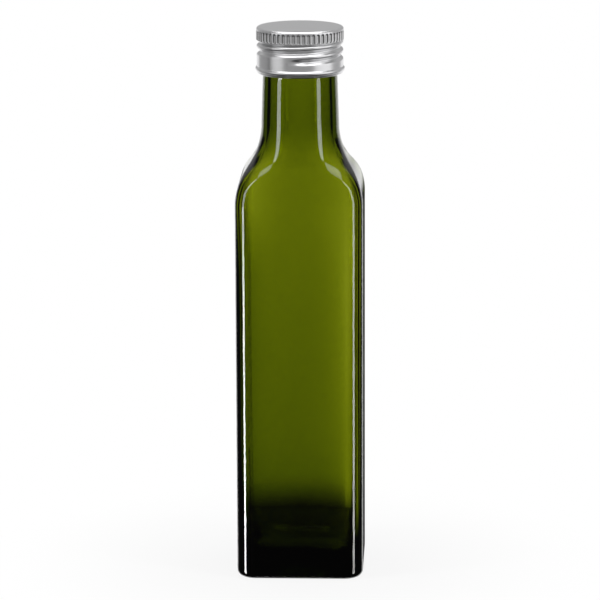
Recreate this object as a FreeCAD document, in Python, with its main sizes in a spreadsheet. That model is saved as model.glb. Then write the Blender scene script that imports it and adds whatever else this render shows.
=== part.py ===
"""Square glass bottle with a rolled aluminium screw cap, in millimetres.

The origin is the centre of the face that the bottle stands on. +Z points up and +Y to the back.
Every size is a cell of the sheet "sizes". The glass is an outer skin with a cavity, a push-up under
the base and a threaded mouth. The cap is a thin shell with flutes and one rolled helical groove,
and it rests on the rim of the mouth. All radii of the cap follow from the neck, outwards.
"""
import FreeCAD, Part
import math
import os

import Sketcher
from FreeCAD import Placement, Rotation, Vector

DRIVING_SIZES = [
    # body and shoulder of the bottle
    ("body_width", 46.0, "side of the square body, across two faces"),
    ("corner_radius", 6.7, "radius of the four upright corners"),
    ("heel_radius", 2.5, "radius between the faces and the base"),
    ("shoulder_start", 137.5, "height where the faces begin to lean inwards"),
    ("shoulder_rise", 27.5, "height of the shoulder, up to where the section is round"),
    ("shoulder_fullness", 0.475, "share of the shoulder taken by its convex arc, the rest is concave"),
    ("rounding_start", 0.25, "share of the shoulder's rise where its corners begin to grow rounder"),
    ("rounding_end", 0.9, "share of the shoulder's rise from which its section is round"),
    ("neck_base_radius", 14.0, "outer radius of the neck at its foot"),
    ("neck_top_radius", 13.4, "outer radius of the neck just below the cap"),
    ("neck_length", 18.5, "length of the neck that shows below the cap"),
    # glass thickness
    ("body_wall", 2.2, "glass thickness of the faces"),
    ("bore_radius", 11.0, "radius of the bore of the neck"),
    ("floor_height", 6.5, "height of the floor of the cavity"),
    ("inner_heel_radius", 9.0, "radius between the walls and the floor of the cavity"),
    ("push_up_height", 3.0, "height of the hollow under the base"),
    ("push_up_slope", 6.0, "width of the sloping side of that hollow"),
    ("foot_width", 3.0, "width of the flat ring that the bottle stands on"),
    # mouth of the bottle
    ("finish_step", 0.65, "how far the threaded mouth stands out over the neck"),
    ("lip_radius", 0.8, "rounding of the rim, outside and inside"),
    ("thread_pitch", 3.175, "rise of the thread in one turn"),
    ("thread_turns", 1.4, "turns of the glass thread"),
    ("thread_clearance", 0.15, "smallest gap between glass and cap"),
    # cap
    ("cap_height", 16.7, "height of the cap"),
    ("cap_sheet", 0.3, "thickness of the aluminium"),
    ("cap_edge_radius", 1.0, "rounding of the top edge"),
    ("flute_count", 54, "flutes around the cap"),
    ("flute_depth", 0.4, "depth of a flute"),
    ("flute_radius", 0.6, "radius of a flute's round section"),
    ("flute_drop", 1.1, "distance from the top of the cap to the upper end of the flutes"),
    ("flute_length", 3.8, "length of a flute"),
    ("flute_overhang", 0.15, "how far the fluted band stands out over the skirt"),
    ("groove_radius", 0.95, "radius of the rolled groove's round section"),
    ("groove_depth", 1.1, "depth of the rolled groove below the skirt"),
    ("groove_drop", 11.4, "distance from the top of the cap to the lower end of the groove"),
    ("groove_turns", 1.9, "turns of the rolled groove"),
    ("groove_angle", 255.0, "angle from +X, seen from above, of the groove's lower end"),
    ("bead_drop", 14.85, "distance from the top of the cap to the middle of the bead"),
    ("bead_radius", 0.85, "radius of the bead's round section"),
    ("bead_height", 0.5, "height of the bead over the skirt"),
    ("rim_inset", 0.45, "how far the lower rim is turned in"),
    ("rim_height", 1.0, "height of the turned-in rim"),
]

FLAT_POLES = 4       # control points from the middle of a face to the start of its corner
CORNER_STEPS = 8     # steps around one corner
ARC_STEPS = 6        # steps along a quarter of a heel
DEGREE = 3           # degree of the skins
SEWING = 1e-4        # tolerance with which a skin's faces are joined
ROUNDING_OFF = 0.55  # corner radius, as a share of the half width, from which the faces turn outwards
INNER_CORNERS = 0.6  # how fast the cavity's corners grow rounder towards its floor
RIDGE_SINK = 0.8     # how deep the ridge of the groove starts in the skirt, as a share of the sheet

doc = FreeCAD.newDocument("square_bottle")
sheet = doc.addObject("Spreadsheet::Sheet", "sizes")
for row, (alias, value, meaning) in enumerate(DRIVING_SIZES, start=1):
    sheet.set(f"A{row}", alias)
    sheet.set(f"B{row}", str(value))
    sheet.set(f"C{row}", meaning)
    sheet.setAlias(f"B{row}", alias)
doc.recompute()


def size(alias):
    """Value of one cell, for the shapes that are worked out here."""
    return float(sheet.get(alias))


# Heights and radii that both pieces share. Each is written once, as an expression of the sheet.
NECK_BASE_HEIGHT = "(sizes.shoulder_start + sizes.shoulder_rise)"
CAP_FOOT_HEIGHT = f"({NECK_BASE_HEIGHT} + sizes.neck_length)"
MOUTH_HEIGHT = f"({CAP_FOOT_HEIGHT} + sizes.cap_height - sizes.cap_sheet)"
FINISH_RADIUS = "(sizes.neck_top_radius + sizes.finish_step)"
SKIRT_RADIUS = f"({FINISH_RADIUS} + sizes.thread_clearance + sizes.cap_sheet + sizes.groove_depth)"
CAP_RADIUS = f"({SKIRT_RADIUS} + sizes.flute_overhang)"
GROOVE_CENTRE = f"({SKIRT_RADIUS} - sizes.groove_depth + sizes.groove_radius)"


def number(expression):
    """Value of an expression of the sheet."""
    return float(sheet.evalExpression(expression))


# --- skins: closed forms through rounded-square sections (height, half width, corner radius) ---

def quarter_outline(half_width, radius):
    """Control points of a quarter of a rounded square, from the middle of one face to the next.

    In a body section the first and last points lie on the flat faces and the rest around the
    corner. Towards a circle the points of the faces turn outwards, until all lie evenly on it.
    """
    straight = half_width - radius
    roundness = max((radius / half_width - ROUNDING_OFF) / (1 - ROUNDING_OFF), 0.0)
    steps = 2 * FLAT_POLES + CORNER_STEPS
    points = []
    for step in range(steps):
        corner_share = min(max(step - FLAT_POLES, 0) / CORNER_STEPS, 1.0)
        turn = math.pi / 2 * ((1 - roundness) * corner_share + roundness * step / steps)
        along = min(step / FLAT_POLES, 1.0)
        across = min((steps - step) / FLAT_POLES, 1.0)
        points.append((straight * across + radius * math.cos(turn),
                       straight * along + radius * math.sin(turn)))
    return points


def ring(height, half_width, radius):
    """Control points of a whole section."""
    points = []
    for quarter in range(4):
        turn = Rotation(Vector(0, 0, 1), 90 * quarter)
        points += [turn.multVec(Vector(x, y, height)) for x, y in quarter_outline(half_width, radius)]
    return points


def skin(label, levels):
    """Solid through the sections, closed by a flat face at its first and last one."""
    rings = [ring(*level) for level in levels]
    inner_knots = len(rings) - DEGREE - 1
    surface = Part.BSplineSurface()
    surface.buildFromPolesMultsKnots(
        rings,
        [DEGREE + 1] + [1] * inner_knots + [DEGREE + 1],
        [1] * (len(rings[0]) + 1),
        [float(knot) for knot in range(inner_knots + 2)],
        [float(knot) for knot in range(len(rings[0]) + 1)],
        False, True, DEGREE, DEGREE)
    side = surface.toShape()
    faces = [side]
    for edge in side.Edges:
        if edge.BoundBox.ZLength < 1e-6:
            faces.append(Part.Face(Part.Wire([edge])))
    solid = Part.Solid(Part.Shell(faces))
    solid.fix(SEWING, SEWING, SEWING)
    feature = doc.addObject("Part::Feature", label)
    feature.Shape = solid
    return feature


def heel_levels(height, half_width, corner, radius, rounding):
    """Sections of a quarter round that opens upwards from a flat end into an upright wall."""
    levels = []
    for step in range(ARC_STEPS + 1):
        turn = math.pi / 2 * step / ARC_STEPS
        inset = radius * (1 - math.sin(turn))
        section_half = half_width - inset
        levels.append((height + radius * (1 - math.cos(turn)), section_half,
                       min(corner + rounding * inset, section_half)))
    return levels


def arc_drop(radius, distance):
    """How far an arc has left its tangent, a distance along that tangent from the point of touch."""
    return radius - math.sqrt(radius ** 2 - distance ** 2)


def shoulder_levels(wall_at, steps=16):
    """Sections up the shoulder: a convex and a concave arc that touch, with the corners rounding off."""
    half_body = size("body_width") / 2
    rise = size("shoulder_rise")
    inset = half_body - size("neck_base_radius")
    both_radii = (rise ** 2 + inset ** 2) / (2 * inset)
    convex_radius = both_radii * size("shoulder_fullness")
    concave_radius = both_radii - convex_radius
    levels = []
    for step in range(steps + 1):
        share = step / steps
        above = rise * share
        if share < size("shoulder_fullness"):
            half_width = half_body - arc_drop(convex_radius, above)
        else:
            half_width = size("neck_base_radius") + arc_drop(concave_radius, rise - above)
        growth = (share - size("rounding_start")) / (size("rounding_end") - size("rounding_start"))
        growth = min(max(growth, 0.0), 1.0)
        growth *= growth * (3 - 2 * growth)
        corner = size("corner_radius") + (half_width - size("corner_radius")) * growth
        wall = wall_at(share)
        levels.append((size("shoulder_start") + above, half_width - wall, corner - wall))
    return levels


def wall_levels(bottom, half_width, corner, steps=7):
    """Sections of the upright walls, closer together at both ends."""
    top = size("shoulder_start")
    levels = []
    for step in range(1, steps):
        share = (1 - math.cos(math.pi * step / steps)) / 2
        levels.append((bottom + (top - bottom) * share, half_width, corner))
    return levels


def neck_levels(bottom, top, bottom_radius, top_radius, steps=4):
    """Round sections above the shoulder."""
    levels = []
    for step in range(1, steps + 1):
        radius = bottom_radius + (top_radius - bottom_radius) * step / steps
        levels.append((bottom + (top - bottom) * step / steps, radius, radius))
    return levels


# --- sketches ---

def bind(owner, name, expression):
    """Tie a property or a constraint to the sheet."""
    owner.setExpression(name, expression)


def add_outline(sketch, outline):
    """Draw a closed outline and tie every corner to the sheet.

    Each entry is (x, y, arc). x and y are expressions. arc is None where a straight line leaves
    the corner, or (radius, side), side +1 where the arc turns left and -1 where it turns right.
    """
    corners = [Vector(number(x), number(y), 0) for x, y, arc in outline]
    count = len(outline)
    ends = []
    for index, (x, y, arc) in enumerate(outline):
        start = corners[index]
        finish = corners[(index + 1) % count]
        if arc is None:
            geometry = sketch.addGeometry(Part.LineSegment(start, finish), False)
            ends.append((geometry, 1, 2))
        else:
            radius, side = number(arc[0]), arc[1]
            chord = finish - start
            left = Vector(-chord.y, chord.x, 0).normalize()
            offset = math.sqrt(max(radius ** 2 - chord.Length ** 2 / 4, 0.0))
            centre = (start + finish) / 2 + left * side * offset
            circle = Part.Circle(centre, Vector(0, 0, 1), radius)
            first, last = (start, finish) if side > 0 else (finish, start)
            angles = [math.atan2(point.y - centre.y, point.x - centre.x) for point in (first, last)]
            geometry = sketch.addGeometry(Part.ArcOfCircle(circle, *angles), False)
            ends.append((geometry, 1, 2) if side > 0 else (geometry, 2, 1))
    for index, (x, y, arc) in enumerate(outline):
        geometry, start_point, end_point = ends[index]
        following = ends[(index + 1) % count]
        sketch.addConstraint(Sketcher.Constraint("Coincident", geometry, end_point,
                                                 following[0], following[1]))
        for kind, expression, value in (("DistanceX", x, corners[index].x),
                                        ("DistanceY", y, corners[index].y)):
            constraint = sketch.addConstraint(Sketcher.Constraint(kind, -1, 1, geometry, start_point, value))
            bind(sketch, f"Constraints[{constraint}]", expression)
        if arc is not None:
            constraint = sketch.addConstraint(Sketcher.Constraint("Radius", geometry, number(arc[0])))
            bind(sketch, f"Constraints[{constraint}]", arc[0])


def body_sketch(body, name, turn=0.0):
    """Sketch on the upright plane of a body, x outwards and y up, turned about the body's axis."""
    sketch = body.newObject("Sketcher::SketchObject", name)
    plane = next(item for item in body.Origin.OriginFeatures if item.Role == "XZ_Plane")
    sketch.AttachmentSupport = [(plane, "")]
    sketch.MapMode = "FlatFace"
    sketch.AttachmentOffset = Placement(Vector(), Rotation(Vector(0, 1, 0), turn))
    return sketch


def body_axis(body):
    """Upright axis of a body, as a reference."""
    axis = next(item for item in body.Origin.OriginFeatures if item.Role == "Z_Axis")
    return (axis, [""])


# --- the glass bottle ---

def helix_bead(name, centre_radius, bead_radius, bottom, turns, angle):
    """Bead of round section along a helix about the Z axis, cut square at both ends."""
    helix = doc.addObject("Part::Helix", f"{name}_path")
    bind(helix, "Pitch", "sizes.thread_pitch")
    bind(helix, "Height", f"sizes.thread_pitch * {turns}")
    bind(helix, "Radius", centre_radius)
    bind(helix, "Placement.Base.z", bottom)
    helix.Placement.Rotation = Rotation(Vector(0, 0, 1), angle)
    section = doc.addObject("Part::Circle", f"{name}_section")
    bind(section, "Radius", bead_radius)
    outwards = Rotation(Vector(0, 0, 1), angle)
    section.Placement = Placement(outwards.multVec(Vector(number(centre_radius), 0, number(bottom))),
                                  outwards.multiply(Rotation(Vector(1, 0, 0), 90)))
    doc.recompute()
    bead = doc.addObject("Part::Sweep", name)
    bead.Sections = [section]
    bead.Spine = (helix, [f"Edge{index + 1}" for index in range(len(helix.Shape.Edges))])
    bead.Solid = True
    bead.Frenet = True
    return bead


def make_bottle():
    """Glass: outer skin and threaded mouth, less the cavity, the push-up and the flare of the mouth."""
    half_body = size("body_width") / 2
    corner = size("corner_radius")
    heel = size("heel_radius")
    wall = size("body_wall")
    cap_foot = number(CAP_FOOT_HEIGHT)
    mouth = number(MOUTH_HEIGHT)
    neck_base = number(NECK_BASE_HEIGHT)
    overlap = size("lip_radius") + size("finish_step")

    outer = skin("outer_form", (
        heel_levels(0, half_body, corner, heel, -1)
        + wall_levels(heel, half_body, corner)
        + shoulder_levels(lambda share: 0.0)
        + neck_levels(neck_base, cap_foot, size("neck_base_radius"), size("neck_top_radius"))
        + neck_levels(cap_foot, cap_foot + 2 * overlap, size("neck_top_radius"), size("neck_top_radius"), 3)))

    neck_wall = size("neck_base_radius") - size("bore_radius")
    cavity = skin("cavity_form", (
        heel_levels(size("floor_height"), half_body - wall, corner - wall, size("inner_heel_radius"),
                    INNER_CORNERS)
        + wall_levels(size("floor_height") + size("inner_heel_radius"), half_body - wall, corner - wall)
        + shoulder_levels(lambda share: wall + (neck_wall - wall) * share)
        + neck_levels(neck_base, mouth + overlap, size("bore_radius"), size("bore_radius"))))

    push_up_half = half_body - heel - size("foot_width")
    push_up_levels = [(-2 * overlap, push_up_half, corner), (-overlap, push_up_half, corner)]
    for step in range(ARC_STEPS + 1):
        share = step / ARC_STEPS
        inset = size("push_up_slope") * share
        push_up_levels.append((size("push_up_height") * (1 - math.cos(math.pi * share)) / 2,
                               push_up_half - inset, min(corner + inset, push_up_half - inset)))
    push_up = skin("push_up_form", push_up_levels)

    finish_sketch = doc.addObject("Sketcher::SketchObject", "finish_profile")
    finish_sketch.Placement = Placement(Vector(), Rotation(Vector(1, 0, 0), 90))
    add_outline(finish_sketch, [
        ("0", CAP_FOOT_HEIGHT, None),
        ("sizes.neck_top_radius - sizes.lip_radius", CAP_FOOT_HEIGHT, None),
        (FINISH_RADIUS, f"{CAP_FOOT_HEIGHT} + sizes.lip_radius + sizes.finish_step", None),
        (FINISH_RADIUS, f"{MOUTH_HEIGHT} - sizes.lip_radius", ("sizes.lip_radius", 1)),
        (f"{FINISH_RADIUS} - sizes.lip_radius", MOUTH_HEIGHT, None),
        ("0", MOUTH_HEIGHT, None),
    ])
    finish = doc.addObject("Part::Revolution", "finish_form")
    finish.Source = finish_sketch
    finish.Axis = Vector(0, 0, 1)
    finish.Angle = 360
    finish.Solid = True

    thread_bottom = f"({MOUTH_HEIGHT} + sizes.cap_sheet - sizes.groove_drop + sizes.thread_pitch / 2)"
    groove_gap = f"sqrt(({GROOVE_CENTRE} - {FINISH_RADIUS}) ^ 2 + (sizes.thread_pitch / 2) ^ 2)"
    thread = helix_bead("thread", FINISH_RADIUS,
                        f"{groove_gap} - sizes.groove_radius - sizes.cap_sheet - sizes.thread_clearance",
                        thread_bottom, "sizes.thread_turns", size("groove_angle"))

    flare = doc.addObject("Part::Cone", "mouth_flare")
    bind(flare, "Radius1", "sizes.bore_radius - sizes.lip_radius")
    bind(flare, "Radius2", "sizes.bore_radius + sizes.lip_radius")
    bind(flare, "Height", "2 * sizes.lip_radius")
    bind(flare, "Placement.Base.z", f"{MOUTH_HEIGHT} - sizes.lip_radius")

    glass = doc.addObject("Part::MultiFuse", "glass_form")
    glass.Shapes = [outer, finish, thread]
    hollows = doc.addObject("Part::MultiFuse", "hollow_form")
    hollows.Shapes = [cavity, flare]
    emptied = doc.addObject("Part::Cut", "emptied_form")
    emptied.Base = glass
    emptied.Tool = hollows
    bottle = doc.addObject("Part::Cut", "glass_bottle")
    bottle.Base = emptied
    bottle.Tool = push_up
    bottle.Label = "glass_bottle"
    return bottle


# --- the screw cap ---

def from_top(drop):
    """Height in the cap's own frame of a place given by its distance from the top."""
    return f"sizes.cap_height - ({drop})"


def make_cap():
    """Aluminium: a turned shell with the ridge of the groove inside, less the flutes and the groove."""
    body = doc.addObject("PartDesign::Body", "screw_cap")
    body.Label = "screw_cap"

    sheet_radius = f"({SKIRT_RADIUS} - sizes.cap_sheet)"
    fluted_inside = f"({CAP_RADIUS} - sizes.flute_depth - sizes.cap_sheet)"
    flute_end = "(sizes.flute_drop + sizes.flute_length)"
    bead_centre_inset = "(sizes.bead_radius - sizes.bead_height)"
    bead_half = f"sqrt(sizes.bead_radius ^ 2 - {bead_centre_inset} ^ 2)"
    inner_bead = "(sizes.bead_radius - sizes.cap_sheet)"
    inner_bead_half = f"sqrt({inner_bead} ^ 2 - ({bead_centre_inset} - sizes.cap_sheet) ^ 2)"
    rim_arc = "(sizes.rim_inset ^ 2 + sizes.rim_height ^ 2) / (2 * sizes.rim_inset)"
    shell_sketch = body_sketch(body, "shell_profile")
    add_outline(shell_sketch, [
        ("0", "sizes.cap_height - sizes.cap_sheet", None),
        (fluted_inside, "sizes.cap_height - sizes.cap_sheet", None),
        (fluted_inside, from_top(flute_end), None),
        (sheet_radius, from_top(f"{flute_end} + sizes.cap_sheet"), None),
        (sheet_radius, from_top(f"sizes.bead_drop - {inner_bead_half}"), (inner_bead, -1)),
        (sheet_radius, from_top(f"sizes.bead_drop + {inner_bead_half}"), None),
        (sheet_radius, "sizes.rim_height", None),
        (f"{sheet_radius} - sizes.rim_inset", "0", None),
        (f"{SKIRT_RADIUS} - sizes.rim_inset", "0", (rim_arc, 1)),
        (SKIRT_RADIUS, "sizes.rim_height", None),
        (SKIRT_RADIUS, from_top(f"sizes.bead_drop + {bead_half}"), ("sizes.bead_radius", 1)),
        (SKIRT_RADIUS, from_top(f"sizes.bead_drop - {bead_half}"), None),
        (SKIRT_RADIUS, from_top(f"{flute_end} + sizes.flute_overhang"), None),
        (CAP_RADIUS, from_top(flute_end), None),
        (CAP_RADIUS, from_top("sizes.cap_edge_radius"), ("sizes.cap_edge_radius", 1)),
        (f"{CAP_RADIUS} - sizes.cap_edge_radius", "sizes.cap_height", None),
        ("0", "sizes.cap_height", None),
    ])
    shell = body.newObject("PartDesign::Revolution", "shell")
    shell.Profile = shell_sketch
    shell.ReferenceAxis = body_axis(body)
    shell.Angle = 360
    doc.recompute()

    groove_level = from_top("sizes.groove_drop")
    ridge_radius = "(sizes.groove_radius + sizes.cap_sheet)"
    ridge_root = f"({SKIRT_RADIUS} - {RIDGE_SINK} * sizes.cap_sheet)"
    ridge_half = f"sqrt({ridge_radius} ^ 2 - ({ridge_root} - {GROOVE_CENTRE}) ^ 2)"
    ridge_sketch = body_sketch(body, "ridge_profile", size("groove_angle"))
    add_outline(ridge_sketch, [
        (ridge_root, f"{groove_level} + {ridge_half}", (ridge_radius, 1)),
        (ridge_root, f"{groove_level} - {ridge_half}", None),
    ])
    ridge = body.newObject("PartDesign::AdditiveHelix", "ridge")
    set_up_helix(ridge, ridge_sketch, body)

    flute_sketch = body_sketch(body, "flute_profile")
    bind(flute_sketch, "AttachmentOffset.Base.x", f"{CAP_RADIUS} - sizes.flute_depth + sizes.flute_radius")
    add_outline(flute_sketch, [
        ("0", from_top(flute_end), ("sizes.flute_radius", 1)),
        ("sizes.flute_radius", from_top(f"{flute_end} - sizes.flute_radius"), None),
        ("sizes.flute_radius", from_top("sizes.flute_drop + sizes.flute_radius"), ("sizes.flute_radius", 1)),
        ("0", from_top("sizes.flute_drop"), None),
    ])
    flute = body.newObject("PartDesign::Groove", "flute")
    flute.Profile = flute_sketch
    flute.ReferenceAxis = (flute_sketch, ["V_Axis"])
    flute.Angle = 360
    doc.recompute()
    flutes = body.newObject("PartDesign::PolarPattern", "flutes")
    flutes.Originals = [flute]
    flutes.Axis = body_axis(body)
    flutes.Angle = 360
    bind(flutes, "Occurrences", "sizes.flute_count")
    body.Tip = flutes
    doc.recompute()

    groove_sketch = body_sketch(body, "groove_profile", size("groove_angle"))
    section = groove_sketch.addGeometry(Part.Circle(Vector(number(GROOVE_CENTRE), number(groove_level), 0),
                                                    Vector(0, 0, 1), size("groove_radius")), False)
    for kind, expression in (("DistanceX", GROOVE_CENTRE), ("DistanceY", groove_level)):
        constraint = groove_sketch.addConstraint(
            Sketcher.Constraint(kind, -1, 1, section, 3, number(expression)))
        bind(groove_sketch, f"Constraints[{constraint}]", expression)
    constraint = groove_sketch.addConstraint(Sketcher.Constraint("Radius", section, size("groove_radius")))
    bind(groove_sketch, f"Constraints[{constraint}]", "sizes.groove_radius")
    groove = body.newObject("PartDesign::SubtractiveHelix", "groove")
    set_up_helix(groove, groove_sketch, body)
    body.Tip = groove

    bind(body, "Placement.Base.z", CAP_FOOT_HEIGHT)
    return body


def set_up_helix(feature, sketch, body):
    """Give a helix feature the pitch and the turns of the rolled groove."""
    feature.Profile = sketch
    feature.ReferenceAxis = body_axis(body)
    feature.Mode = "pitch-turns-angle"
    bind(feature, "Pitch", "sizes.thread_pitch")
    bind(feature, "Turns", "sizes.groove_turns")
    feature.LeftHanded = False
    feature.Reversed = False
    doc.recompute()


# --- build, check, write ---

pieces = [make_bottle(), make_cap()]
doc.recompute()

for item in doc.Objects:
    for fault in ("Invalid", "Error"):
        if fault in item.State:
            raise RuntimeError(f"{item.Name} failed: {item.State}")
for piece in pieces:
    if piece.Shape.isNull() or not piece.Shape.isValid() or len(piece.Shape.Solids) != 1:
        raise RuntimeError(f"{piece.Label} is not one valid solid")

# Each step of the cap adds or takes away aluminium, and each cut in the glass takes some away.
for earlier, later, sign in (("shell", "ridge", 1), ("ridge", "flutes", -1), ("flutes", "groove", -1),
                             ("glass_form", "emptied_form", -1), ("emptied_form", "glass_bottle", -1)):
    change = doc.getObject(later).Shape.Volume - doc.getObject(earlier).Shape.Volume
    if change * sign <= 0:
        raise RuntimeError(f"{later} changed the volume of {earlier} by {change:.1f} mm3")

os.makedirs("parts", exist_ok=True)
for piece in pieces:
    piece.Shape.exportStep(f"parts/{piece.Label}.step")
    print(piece.Label, "volume", round(piece.Shape.Volume, 1), "mm3")
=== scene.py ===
import math

import bmesh
import bpy
from mathutils import Matrix, Vector, noise


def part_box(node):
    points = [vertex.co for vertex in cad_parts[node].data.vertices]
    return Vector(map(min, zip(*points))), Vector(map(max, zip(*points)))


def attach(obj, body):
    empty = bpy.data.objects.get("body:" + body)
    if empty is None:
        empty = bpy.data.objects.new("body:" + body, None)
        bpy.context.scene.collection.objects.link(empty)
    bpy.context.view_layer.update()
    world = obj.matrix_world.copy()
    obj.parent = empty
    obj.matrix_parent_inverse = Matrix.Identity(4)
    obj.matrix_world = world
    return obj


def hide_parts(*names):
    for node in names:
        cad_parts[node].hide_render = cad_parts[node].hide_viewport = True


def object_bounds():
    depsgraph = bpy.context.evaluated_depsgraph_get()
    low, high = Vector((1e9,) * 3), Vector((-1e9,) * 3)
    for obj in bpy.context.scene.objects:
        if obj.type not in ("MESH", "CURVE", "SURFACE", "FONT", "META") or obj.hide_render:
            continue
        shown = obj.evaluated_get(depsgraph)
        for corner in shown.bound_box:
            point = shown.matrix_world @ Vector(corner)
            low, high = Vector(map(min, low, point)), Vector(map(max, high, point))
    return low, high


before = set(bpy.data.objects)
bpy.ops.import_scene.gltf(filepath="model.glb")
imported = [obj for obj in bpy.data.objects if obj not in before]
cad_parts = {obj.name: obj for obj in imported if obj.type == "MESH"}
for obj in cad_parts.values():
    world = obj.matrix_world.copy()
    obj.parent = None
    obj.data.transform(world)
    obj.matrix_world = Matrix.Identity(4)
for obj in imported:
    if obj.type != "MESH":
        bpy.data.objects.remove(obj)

cad_low, cad_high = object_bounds()

# --- The glass bottle ------------------------------------------------------------------------
# One piece of clear yellow-green glass, blown in a square mould: a body with a hollow under its
# base, a sloping shoulder, a round neck and a threaded mouth. The mould makes the outside
# exact, and the inside is only as even as the blown glass leaves it.

MM = 0.001
TOLERANCE = 0.001 * MM
BODY_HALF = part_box("glass_bottle")[1].x
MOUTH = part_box("glass_bottle")[1].z
CAP_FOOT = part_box("screw_cap")[0].z
CORNER = 6.7 * MM
HEEL = 2.5 * MM
FOOT_RING = 3.0 * MM
PUSH_UP = 3.0 * MM
PUSH_UP_SLOPE = 6.0 * MM
SHOULDER_START = 137.5 * MM
SHOULDER_RISE = 27.5 * MM
SHOULDER_FULLNESS = 0.475
ROUNDING_START = 0.25
ROUNDING_END = 0.9
NECK_START = SHOULDER_START + SHOULDER_RISE
NECK_FOOT_RADIUS = 14.0 * MM
NECK_TOP_RADIUS = 13.4 * MM
FINISH_RADIUS = 14.05 * MM
LIP = 0.8 * MM
BORE = 10.3 * MM
NECK_FOOT_BORE = 11.0 * MM
WALL = 2.42 * MM
WALL_GROWTH = 0.75 * MM
BASE_GROWTH = 1.8 * MM
BASE_ZONE = 50 * MM
THIN_ZONE = 25 * MM
CORNER_THINNING = 0.60 * MM
LOW_CORNER_GROWTH = 0.25 * MM
RIGHT_THINNING = 0.45 * MM
FLOOR = 6.5 * MM
INNER_HEEL = 9.0 * MM
INNER_ROUNDING = 0.6
PITCH = 3.175 * MM
THREAD_HEIGHT = 0.7 * MM
THREAD_WIDTH = 1.1 * MM
THREAD_TURNS = 1.4
THREAD_START = math.radians(255)
THREAD_DROP = 11.1 * MM
THREAD_FADE = math.radians(25)
WAVES = 0.10 * MM
WAVE_SIZE = 9 * MM
WAVE_STRETCH = 3
EVEN_TURN = 0.55
STEPS_AROUND = 160


def line(start, end, steps):
    """Levels after start on a straight stretch of a profile, up to and with its end."""
    return [start.lerp(end, step / steps) for step in range(1, steps + 1)]


def arc(centre, radius, first, last, steps, corner=None, growth=0.0, uneven=0.0):
    """Levels after the first one on an arc of a profile. Angles in degrees, from outwards to up."""
    levels = []
    for step in range(1, steps + 1):
        angle = math.radians(first + (last - first) * step / steps)
        half = centre[0] + radius * math.cos(angle)
        rounded = half if corner is None else min(corner + growth * radius * (1 - math.cos(angle)), half)
        levels.append(Vector((half, centre[1] + radius * math.sin(angle), rounded, uneven)))
    return levels


def spun(levels, steps):
    """A closed form turned from a profile that starts and ends on the axis.

    A level holds its half width, its height, its corner radius, and how uneven it is. The last
    two stay on the points, in two layers.
    """
    form = bmesh.new()
    corner_layer = form.verts.layers.float.new("corner")
    uneven_layer = form.verts.layers.float.new("uneven")
    profile = [form.verts.new((levels[0].x, 0, levels[0].y))]
    for level in levels[1:]:
        profile.append(bmesh.ops.extrude_vert_indiv(form, verts=profile[-1:])["verts"][0])
        profile[-1].co = (level.x, 0, level.y)
        profile[-1][corner_layer] = level.z
        profile[-1][uneven_layer] = level.w
    bmesh.ops.spin(form, geom=form.verts[:] + form.edges[:], cent=(0, 0, 0), axis=(0, 0, 1),
                   angle=math.tau, steps=steps, use_merge=True)
    bmesh.ops.remove_doubles(form, verts=form.verts, dist=TOLERANCE)
    bmesh.ops.recalc_face_normals(form, faces=form.faces)
    return form


def add_piece(name, form, material):
    """A smooth-shaded object at the origin."""
    mesh = bpy.data.meshes.new(name)
    form.to_mesh(mesh)
    form.free()
    for face in mesh.polygons:
        face.use_smooth = True
    mesh.materials.append(material)
    piece = bpy.data.objects.new(name, mesh)
    bpy.context.scene.collection.objects.link(piece)
    return piece


def shoulder_half(share):
    """Half width at a share of the shoulder's rise: a convex arc that runs into a concave one."""
    inset = BODY_HALF - NECK_FOOT_RADIUS
    both_radii = (SHOULDER_RISE ** 2 + inset ** 2) / (2 * inset)
    if share < SHOULDER_FULLNESS:
        radius = both_radii * SHOULDER_FULLNESS
        return BODY_HALF - radius + math.sqrt(radius ** 2 - (SHOULDER_RISE * share) ** 2)
    radius = both_radii * (1 - SHOULDER_FULLNESS)
    return NECK_FOOT_RADIUS + radius - math.sqrt(radius ** 2 - (SHOULDER_RISE * (1 - share)) ** 2)


def shoulder(shares, wall, neck_wall, uneven):
    """Levels of the shoulder, its corners rounding off towards the neck. The walls are 0 outside."""
    levels = []
    for share in shares:
        half = shoulder_half(share)
        growth = min(max((share - ROUNDING_START) / (ROUNDING_END - ROUNDING_START), 0.0), 1.0)
        corner = CORNER + (half - CORNER) * growth ** 2 * (3 - 2 * growth)
        inset = wall + (neck_wall - wall) * share
        levels.append(Vector((half - inset, SHOULDER_START + SHOULDER_RISE * share,
                              corner - inset, uneven * (1 - share))))
    return levels


def upright(low, high, half, corner, uneven, steps):
    """Levels of a straight wall, closer together at both ends."""
    shares = [(1 - math.cos(math.pi * step / steps)) / 2 for step in range(1, steps + 1)]
    return [Vector((half, low + (high - low) * share, corner, uneven)) for share in shares]


def round_level(radius, height):
    """A round, even level."""
    return Vector((radius, height, radius, 0))


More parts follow.
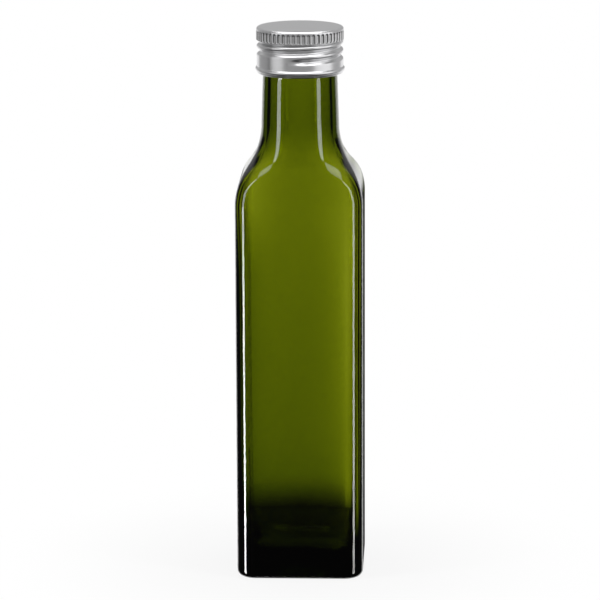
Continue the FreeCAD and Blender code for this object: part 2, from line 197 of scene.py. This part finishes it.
def outside():
    """Profile of the outside, from the middle of the base to the rim of the mouth."""
    foot = BODY_HALF - HEEL
    hollow = foot - FOOT_RING
    top = hollow - PUSH_UP_SLOPE
    levels = [round_level(0, PUSH_UP)] + line(round_level(0, PUSH_UP), round_level(top, PUSH_UP), 5)
    for step in range(1, 13):
        share = step / 12
        half = top + PUSH_UP_SLOPE * share
        levels.append(Vector((half, PUSH_UP * (1 + math.cos(math.pi * share)) / 2,
                              min(CORNER + hollow - half, half), 0)))
    levels += line(levels[-1], Vector((foot, 0, CORNER - HEEL, 0)), 3)
    levels += arc((foot, HEEL), HEEL, -90, 0, 8, CORNER, -1)
    levels += upright(HEEL, SHOULDER_START, BODY_HALF, CORNER, 0, 46)
    levels += shoulder([step / 36 for step in range(1, 37)], 0, 0, 0)
    levels += line(levels[-1], round_level(NECK_TOP_RADIUS, CAP_FOOT), 12)
    finish_foot = CAP_FOOT + LIP + FINISH_RADIUS - NECK_TOP_RADIUS
    levels += line(levels[-1], round_level(FINISH_RADIUS, finish_foot), 4)
    levels += line(levels[-1], round_level(FINISH_RADIUS, MOUTH - LIP), 48)
    return levels + arc((FINISH_RADIUS - LIP, MOUTH - LIP), LIP, 0, 90, 5)


def inside(rim):
    """Profile of the inside, from the rim of the mouth down to the middle of the floor."""
    half = BODY_HALF - WALL
    corner = CORNER - WALL
    heel_top = FLOOR + INNER_HEEL
    levels = line(rim, round_level(BORE + LIP, MOUTH), 1)
    levels += line(levels[-1], round_level(BORE, MOUTH - LIP), 2)
    levels += line(levels[-1], round_level(NECK_FOOT_BORE, NECK_START), 14)
    neck_wall = NECK_FOOT_RADIUS - NECK_FOOT_BORE
    levels += shoulder([1 - step / 30 for step in range(1, 31)], WALL, neck_wall, 1)
    levels += upright(SHOULDER_START, heel_top, half, corner, 1, 60)
    levels += arc((half - INNER_HEEL, heel_top), INNER_HEEL, 0, -90, 14, corner, INNER_ROUNDING, 1)
    return levels + line(levels[-1], round_level(0, FLOOR), 6)


def squared(turn, half, corner):
    """Point of a rounded square at a turn of 0 to 1, and the way that it faces.

    The third result is its share of the way from the middle of a side to the start of the corner.
    """
    quarter, part = divmod(turn * 4 + 0.5, 1)
    part -= 0.5
    roundness = max((corner / half - EVEN_TURN) / (1 - EVEN_TURN), 0.0)
    along = min(abs(part) * 4, 1.0)
    square_angle = max(abs(part) * 4 - 1, 0.0) * math.pi / 4
    round_angle = abs(part) * math.pi / 2
    angle = (1 - roundness) * square_angle + roundness * round_angle
    facing = Vector((math.cos(angle), math.copysign(math.sin(angle), part), 0))
    point = Vector((half - corner, math.copysign((half - corner) * along, part), 0)) + facing * corner
    turned = Matrix.Rotation(quarter * math.pi / 2, 3, "Z")
    return turned @ point, turned @ facing, along


rim_levels = outside()
glass = spun(rim_levels + inside(rim_levels[-1]), STEPS_AROUND)
corner_layer = glass.verts.layers.float["corner"]
uneven_layer = glass.verts.layers.float["uneven"]
for vert in glass.verts:
    half = vert.co.xy.length
    if half < TOLERANCE:
        continue
    turn = math.atan2(vert.co.y, vert.co.x) / math.tau
    point, facing, along = squared(turn, half, vert[corner_layer])
    side = max(min(point.x / (BODY_HALF - CORNER), 1.0), -1.0)
    below = max(SHOULDER_START - vert.co.z, 0.0)
    low = min(below / THIN_ZONE, 1.0)
    thinner = (CORNER_THINNING - LOW_CORNER_GROWTH * low + RIGHT_THINNING * side * low) * along ** 2
    heavy = BASE_GROWTH * max(1 - vert.co.z / BASE_ZONE, 0.0) ** 2 * (1 - along ** 4 * max(side, 0.0))
    thicker = WALL_GROWTH * below / SHOULDER_START + heavy
    swell = WAVES * noise.noise(Vector((point.x, point.y, vert.co.z / WAVE_STRETCH)) / WAVE_SIZE)
    point += facing * (thinner - thicker + swell) * vert[uneven_layer]
    vert.co.x, vert.co.y = point.xy

# The thread of the mouth is a helical bead, which dies away at both ends.
for vert in glass.verts:
    radius = vert.co.xy.length
    if vert.co.z < CAP_FOOT + LIP or radius < FINISH_RADIUS - TOLERANCE:
        continue
    around = (math.atan2(vert.co.y, vert.co.x) - THREAD_START) % math.tau
    bead = 0.0
    for turns in (0, 1):
        run = around + turns * math.tau
        centre = MOUTH - THREAD_DROP + PITCH * (0.5 + run / math.tau)
        across = (vert.co.z - centre) / THREAD_WIDTH
        ends = min(run, THREAD_TURNS * math.tau - run) / THREAD_FADE
        bead += max(1 - across ** 2, 0.0) * min(max(ends, 0.0), 1.0)
    vert.co.xy *= 1 + THREAD_HEIGHT * bead / radius


class Wire:
    """A socket of a shader tree. Python's operators on it add Math nodes."""

    def __init__(self, tree, socket=None):
        self.tree = tree
        self.socket = socket

    def node(self, kind, settings=None, inputs=None, output=0):
        """One output of a new node: its settings are set first, then its inputs' values or links."""
        made = self.tree.nodes.new(kind)
        for name, value in (settings or {}).items():
            setattr(made, name, value)
        for name, value in (inputs or {}).items():
            if isinstance(value, Wire):
                self.tree.links.new(value.socket, made.inputs[name])
            else:
                made.inputs[name].default_value = value
        return Wire(self.tree, made.outputs[output] if made.outputs else None)

    def maths(self, operation, first, second):
        """A Math node on two wires or numbers."""
        return self.node("ShaderNodeMath", {"operation": operation}, {0: first, 1: second})

    def __add__(self, other):
        return self.maths("ADD", self, other)

    def __sub__(self, other):
        return self.maths("SUBTRACT", self, other)

    def __rsub__(self, other):
        return self.maths("SUBTRACT", other, self)

    def __mul__(self, other):
        return self.maths("MULTIPLY", self, other)

    def __abs__(self):
        return self.maths("ABSOLUTE", self, 0.0)

    def rising(self, low, high, first=0.0, last=1.0):
        """A smooth change from first to last, as this wire goes from low to high."""
        return self.node("ShaderNodeMapRange", {"clamp": True, "interpolation_type": "SMOOTHSTEP"}, {
            "Value": self, "From Min": low, "From Max": high, "To Min": first, "To Max": last})

    __radd__ = __add__
    __rmul__ = __mul__


def new_material(name):
    """An empty material, and the wire that its nodes are made with."""
    material = bpy.data.materials.new(name)
    material.use_nodes = True
    material.node_tree.nodes.clear()
    return material, Wire(material.node_tree)


def green_glass():
    """Clear glass that swallows blue at once, and red a little before green, with a faintly uneven skin."""
    material, make = new_material("green_glass")
    place = make.node("ShaderNodeTexCoord", output="Object")
    swells = make.node("ShaderNodeTexNoise", {}, {"Vector": place, "Scale": 55.0, "Detail": 2.0})
    handling = make.node("ShaderNodeTexNoise", {}, {"Vector": place, "Scale": 900.0, "Detail": 4.0})
    skin = make.node("ShaderNodeBump", {}, {"Height": swells, "Strength": 0.15, "Distance": 0.0004})
    surface = make.node("ShaderNodeBsdfPrincipled", {}, {
        "Base Color": (1, 1, 1, 1), "Roughness": 0.02 * handling, "IOR": 1.52,
        "Transmission Weight": 1.0, "Normal": skin})
    depth = make.node("ShaderNodeVolumeAbsorption", {}, {
        "Color": (0.679, 0.715, 0.0, 1), "Density": 1400.0})
    make.node("ShaderNodeOutputMaterial", {}, {"Surface": surface, "Volume": depth})
    return material


bottle = add_piece("bottle_glass", glass, green_glass())
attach(bottle, "root")
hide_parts("glass_bottle")

# --- The screw cap ---------------------------------------------------------------------------
# A thin cup of satin aluminium, drawn from sheet. Rolling presses the flutes around its top and
# one helical groove, which follows the glass thread. A bead and a turned-in rim stiffen the foot.

CAP_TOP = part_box("screw_cap")[1].z
SHEET = 0.3 * MM
CAP_RADIUS = 15.75 * MM
SKIRT = 15.6 * MM
TOP_EDGE = 1.0 * MM
FLUTES = 54
FLUTE_STEPS = 10
FLUTE_DEPTH = 0.5 * MM
FLUTE_HALF_WIDTH = 0.62 * MM
FLUTE_TOP = 1.1 * MM
FLUTE_END = 4.6 * MM
GROOVE_DEPTH = 1.1 * MM
GROOVE_HALF_WIDTH = 1.4 * MM
GROOVE_DROP = 6.99 * MM
GROOVE_LOW_TURN = -465 / 360
GROOVE_CLEARANCE = 0.15 * MM
GROOVE_FADE = 25 / 360
BEAD_DROP = 15.1 * MM
BEAD = 0.85 * MM
BEAD_HEIGHT = 0.5 * MM
RIM_INSET = 0.45 * MM
RIM_HEIGHT = 1.0 * MM


def cap_side(sheet):
    """Profile of the cap's side from its top edge to its foot, outside or a sheet's thickness inside."""
    edge = CAP_RADIUS - TOP_EDGE
    levels = arc((edge, CAP_TOP - TOP_EDGE), TOP_EDGE - sheet, 90, 0, 6)
    band_end = CAP_TOP - FLUTE_END
    levels += line(levels[-1], round_level(CAP_RADIUS - sheet, band_end), 18)
    levels += line(levels[-1], round_level(SKIRT - sheet, band_end - (CAP_RADIUS - SKIRT)), 1)
    bead_centre = SKIRT + BEAD_HEIGHT - BEAD
    bead_half = math.degrees(math.acos((SKIRT - bead_centre) / BEAD))
    bead_top = CAP_TOP - BEAD_DROP + BEAD * math.sin(math.radians(bead_half))
    levels += line(levels[-1], round_level(SKIRT - sheet, bead_top), 32)
    levels += arc((bead_centre - sheet, CAP_TOP - BEAD_DROP), BEAD, bead_half, -bead_half, 10)
    levels += line(levels[-1], round_level(SKIRT - sheet, CAP_FOOT + RIM_HEIGHT), 1)
    rim_radius = (RIM_INSET ** 2 + RIM_HEIGHT ** 2) / (2 * RIM_INSET)
    rim_turn = math.degrees(math.asin(RIM_HEIGHT / rim_radius))
    return levels + arc((SKIRT - sheet - rim_radius, CAP_FOOT + RIM_HEIGHT), rim_radius, 0, -rim_turn, 5)


def fluted(turn, drop):
    """How deep a flute presses the sheet in, at a turn and a distance below the top."""
    across = (turn * FLUTES % 1 - 0.5) * math.tau * CAP_RADIUS / FLUTES
    straight_top = FLUTE_TOP + FLUTE_HALF_WIDTH
    straight_end = FLUTE_END - FLUTE_HALF_WIDTH
    beyond = max(straight_top - drop, drop - straight_end, 0.0)
    away = math.hypot(across, beyond) / FLUTE_HALF_WIDTH
    return FLUTE_DEPTH * max(1 - away ** 3, 0.0)


def grooved(turn, drop):
    """How deep the rolled groove presses the sheet in, at a turn and a distance below the top."""
    depth = 0.0
    clear = min(max((drop - FLUTE_END) / GROOVE_CLEARANCE, 0.0), 1.0)
    for whole in (-2, -1, 0, 1):
        run = turn + whole
        if run > GROOVE_LOW_TURN:
            away = abs(drop - GROOVE_DROP + PITCH * run) / GROOVE_HALF_WIDTH
            fade = min((run - GROOVE_LOW_TURN) / GROOVE_FADE, clear)
            depth = max(depth, GROOVE_DEPTH * fade * (1 + math.cos(min(away, 1.0) * math.pi)) / 2)
    return depth


outer_side = cap_side(0)
inner_side = cap_side(SHEET)[::-1]
top_middle = round_level(0, CAP_TOP)
under_top = round_level(0, CAP_TOP - SHEET)
top_edge = round_level(CAP_RADIUS - TOP_EDGE, CAP_TOP)
inner_edge = round_level(CAP_RADIUS - TOP_EDGE, CAP_TOP - SHEET)
cap_levels = [top_middle] + line(top_middle, top_edge, 6) + outer_side + inner_side
cap_levels += [inner_edge] + line(inner_edge, under_top, 6)
cap = spun(cap_levels, FLUTES * FLUTE_STEPS)
for vert in cap.verts:
    radius = vert.co.xy.length
    drop = CAP_TOP - vert.co.z
    if radius > CAP_RADIUS - TOP_EDGE:
        turn = (math.atan2(vert.co.y, vert.co.x) / math.tau) % 1
        vert.co.xy *= 1 - (fluted(turn, drop) + grooved(turn, drop)) / radius


def satin_aluminium():
    """Bare satin aluminium, with painted shade on the flanks of the flutes, and rubbed a little by
    handling.
    """
    material, make = new_material("satin_aluminium")
    place = make.node("ShaderNodeTexCoord", output="Object")
    rubbing = make.node("ShaderNodeTexNoise", {}, {"Vector": place, "Scale": 400.0, "Detail": 4.0})
    grain = make.node("ShaderNodeTexNoise", {}, {"Vector": place, "Scale": 4000.0, "Detail": 2.0})
    finish = make.node("ShaderNodeBump", {}, {"Height": grain, "Strength": 0.1, "Distance": 0.00002})
    height = make.node("ShaderNodeSeparateXYZ", {}, {"Vector": place}, output=2)
    on_axis = make.node("ShaderNodeVectorMath", {"operation": "MULTIPLY"}, {0: place, 1: (1, 1, 0)})
    radius = make.node("ShaderNodeVectorMath", {"operation": "LENGTH"}, {0: on_axis}, output=1)
    # Painted shade: the base colour goes near black on the flanks of the flutes, inside the fluted band.
    painted_flank_shade = radius.rising(CAP_RADIUS - FLUTE_DEPTH, CAP_RADIUS - 0.7 * FLUTE_DEPTH, 0.2, 1)
    painted_flank_shade *= radius.rising(CAP_RADIUS - 0.5 * FLUTE_DEPTH, CAP_RADIUS, 1, 0)
    band = height.rising(CAP_TOP - FLUTE_TOP, CAP_TOP - FLUTE_TOP - TOP_EDGE / 2)
    band *= height.rising(CAP_TOP - FLUTE_END - GROOVE_CLEARANCE, CAP_TOP - FLUTE_END)
    colour_with_painted_shade = make.node("ShaderNodeMix", {"data_type": "RGBA"}, {
        "Factor": 0.9 * painted_flank_shade * band, 6: (0.82, 0.82, 0.83, 1), 7: (0.1, 0.1, 0.1, 1)}, output=2)
    surface = make.node("ShaderNodeBsdfPrincipled", {}, {
        "Base Color": colour_with_painted_shade, "Metallic": 1.0, "Roughness": 0.28 + 0.06 * rubbing, "Normal": finish})
    make.node("ShaderNodeOutputMaterial", {}, {"Surface": surface})
    return material


cap_piece = add_piece("cap_aluminium", cap, satin_aluminium())
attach(cap_piece, "root")
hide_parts("screw_cap")

# --- The table and the studio ----------------------------------------------------------------
# The bottle stands on a plain white table that runs out into a white ground. Two tall soft lights
# stand beside the glass, a wide one hangs over it, and six soft ones around the cap light only that.

FLOOR_HALF = 6.0
FLAG_NEAR = math.radians(26)
FLAG_FAR = math.radians(48)
FLAG_BLUR = math.radians(2)
FLAG_BLACK = 0.97
PAINTED_SHADOW_INNER = 0.06
PAINTED_SHADOW_OUTER = 0.115
LAMP_FOOT = 0.13
LAMP_BODY = 0.33
CEILING = 0.37
GLOOM = 0.03
AMBIENT = 0.1
floor_form = bmesh.new()
bmesh.ops.create_grid(floor_form, x_segments=1, y_segments=1, size=FLOOR_HALF)


def away_from_back(make, place):
    """The angle between straight behind the bottle and a place or direction, seen from above."""
    sideways = make.node("ShaderNodeSeparateXYZ", {}, {0: place}, "X")
    backwards = make.node("ShaderNodeSeparateXYZ", {}, {0: place}, "Y")
    return abs(make.maths("ARCTAN2", sideways, backwards))


def flagged(from_back):
    """1 where one of the four black flags stands, and 0 elsewhere."""
    off_side = abs(from_back - math.pi / 2)
    past_near = off_side.rising(FLAG_NEAR - FLAG_BLUR, FLAG_NEAR + FLAG_BLUR)
    before_far = off_side.rising(FLAG_FAR - FLAG_BLUR, FLAG_FAR + FLAG_BLUR, 1.0, 0.0)
    return past_near * before_far


def white_table():
    """A white table, which takes the shadow near the bottle and is plain white further out.

    Seen through the glass, it carries a painted shadow, black under the bottle, and is dark where the flags
    stand.
    """
    material, make = new_material("white_table")
    place = make.node("ShaderNodeTexCoord", output="Object")
    ground = 1 - flagged(away_from_back(make, place))
    distance = make.node("ShaderNodeVectorMath", {"operation": "LENGTH"}, {0: place}, "Value")
    seen = make.node("ShaderNodeLightPath", output="Is Camera Ray")
    seen_through = make.node("ShaderNodeLightPath", output="Is Transmission Ray")
    lit = make.node("ShaderNodeBsdfDiffuse", {}, {"Color": (0.85, 0.85, 0.85, 1)})
    white = make.node("ShaderNodeEmission", {}, {"Color": (1, 1, 1, 1), "Strength": 1.0})
    black = make.node("ShaderNodeEmission", {}, {"Color": (0, 0, 0, 1), "Strength": 0.0})
    # Painted shadow: rays through the glass see the table black near the bottle, fading to white further
    # out.
    shaded = make.node("ShaderNodeMixShader", {}, {
        0: ground * distance.rising(PAINTED_SHADOW_INNER, PAINTED_SHADOW_OUTER), 1: black, 2: white})
    from_above = make.node("ShaderNodeMixShader", {}, {
        0: seen * distance.rising(0.02, 0.12, 0.88, 1.0), 1: lit, 2: white})
    mixed = make.node("ShaderNodeMixShader", {}, {0: seen_through, 1: from_above, 2: shaded})
    make.node("ShaderNodeOutputMaterial", {}, {"Surface": mixed})
    return material


table = add_piece("table", floor_form, white_table())
table.visible_glossy = False


def soft_light(name, width, height, distance, azimuth, elevation, aim, radiance, low_radiance, lit=None):
    """A soft rectangular light, a distance away from its aim, with a radiance of its own at its foot.

    With pieces in lit, it lights only those.
    """
    lamp = bpy.data.lights.new(name, "AREA")
    lamp.shape = "RECTANGLE"
    lamp.size = width
    lamp.size_y = height
    lamp.energy = math.pi * width * height
    lamp.use_nodes = True
    lamp.node_tree.nodes.clear()
    make = Wire(lamp.node_tree)
    place = make.node("ShaderNodeNewGeometry", output="Parametric")
    upwards = make.node("ShaderNodeSeparateXYZ", {}, {0: place}, "Y")
    glow = make.node("ShaderNodeEmission", {}, {
        "Color": (1, 1, 1, 1), "Strength": upwards.rising(LAMP_FOOT, LAMP_BODY, low_radiance, radiance)})
    make.node("ShaderNodeOutputLight", {}, {"Surface": glow})
    light = bpy.data.objects.new(name, lamp)
    turned = math.radians(azimuth)
    raised = math.radians(elevation)
    level = math.cos(raised)
    away = Vector((math.sin(turned) * level, -math.cos(turned) * level, math.sin(raised)))
    light.location = Vector(aim) + away * distance
    light.rotation_mode = "QUATERNION"
    light.rotation_quaternion = away.to_track_quat("Z", "Y")
    light.visible_camera = False
    if lit:
        light.light_linking.receiver_collection = bpy.data.collections.new(name + "_lit")
        for piece in lit:
            light.light_linking.receiver_collection.objects.link(piece)
    bpy.context.scene.collection.objects.link(light)


middle = (cad_low + cad_high) / 2
cap_middle = (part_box("screw_cap")[0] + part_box("screw_cap")[1]) / 2
breast = middle + Vector((0, 0, 0.25))
soft_light("left_light", 0.11, 1.3, 0.5, -64, 0, breast, 5.5, 24.0, [bottle, table])
soft_light("right_light", 0.11, 1.3, 0.5, 60, 0, breast, 5.5, 8.0, [bottle, table])
soft_light("top_light", 1.2, 0.8, 1.2, 180, 82, middle, 2.5, 2.5)
soft_light("cap_left_light", 0.35, 0.6, 0.5, -60, 5, cap_middle, 0.8, 0.5, [cap_piece])
soft_light("cap_right_light", 0.5, 0.6, 0.5, 66, 5, cap_middle, 1.0, 0.8, [cap_piece])
soft_light("cap_far_left_light", 0.5, 0.7, 0.5, -118, 5, cap_middle, 0.29, 0.29, [cap_piece])
soft_light("cap_far_right_light", 0.5, 0.7, 0.5, 114, 5, cap_middle, 0.35, 0.35, [cap_piece])
soft_light("cap_front_light", 0.5, 0.7, 0.35, 0, 8, cap_middle, 0.29, 0.29, [cap_piece])
soft_light("cap_high_light", 1.0, 0.5, 0.6, 0, 68, cap_middle, 2.0, 2.0, [cap_piece])

# Rays through the glass see the flags in the world. Mirrored rays see a dark room, which is pale
# behind the bottle but for a narrow dark strip.
world = bpy.data.worlds.new("studio")
world.use_nodes = True
world.node_tree.nodes.clear()
make = Wire(world.node_tree)
direction = make.node("ShaderNodeTexCoord", output="Generated")
upwards = make.node("ShaderNodeSeparateXYZ", {}, {0: direction}, "Z")
from_back = away_from_back(make, direction)
behind = from_back.rising(math.radians(35), math.radians(45), 1.0, 0.0)
edge_strip = from_back.rising(math.radians(4), math.radians(8))
above = upwards.rising(-0.10, 0.05)
seen = make.node("ShaderNodeLightPath", output="Is Camera Ray")
seen_through = make.node("ShaderNodeLightPath", output="Is Transmission Ray")
glossy = make.node("ShaderNodeLightPath", output="Is Glossy Ray")
mirrored = glossy * (1 - seen_through)
surroundings = GLOOM + behind * (CEILING * above + (1 - above) * edge_strip)
transmitted = seen_through * (1 - FLAG_BLACK * flagged(from_back))
others = (1 - seen - seen_through - mirrored) * AMBIENT
strength = seen + transmitted + mirrored * surroundings + others
around = make.node("ShaderNodeBackground", {}, {"Color": (1, 1, 1, 1), "Strength": strength})
make.node("ShaderNodeOutputWorld", {}, {"Surface": around})
bpy.context.scene.world = world
bpy.context.scene.view_settings.view_transform = "Standard"

# --- The camera ------------------------------------------------------------------------------
# A long lens a little over a metre away, slightly to the right and above the bottle.

LENS = 218.9
CAMERA_AWAY = 1.3
CAMERA_HEIGHT = 0.387
HEADING = 2.2
AIM_ASIDE = 0.015
PITCH_DOWN = 12.47
ROLL = 0.22

camera_data = bpy.data.cameras.new("camera")
camera_data.lens = LENS
camera = bpy.data.objects.new("camera", camera_data)
heading = math.radians(HEADING)
camera.matrix_world = (
    Matrix.Translation((CAMERA_AWAY * math.sin(heading), -CAMERA_AWAY * math.cos(heading), CAMERA_HEIGHT))
    @ Matrix.Rotation(heading + math.radians(AIM_ASIDE), 4, "Z")
    @ Matrix.Rotation(math.radians(90 - PITCH_DOWN), 4, "X")
    @ Matrix.Rotation(math.radians(-ROLL), 4, "Z"))
bpy.context.scene.collection.objects.link(camera)
bpy.context.scene.camera = camera
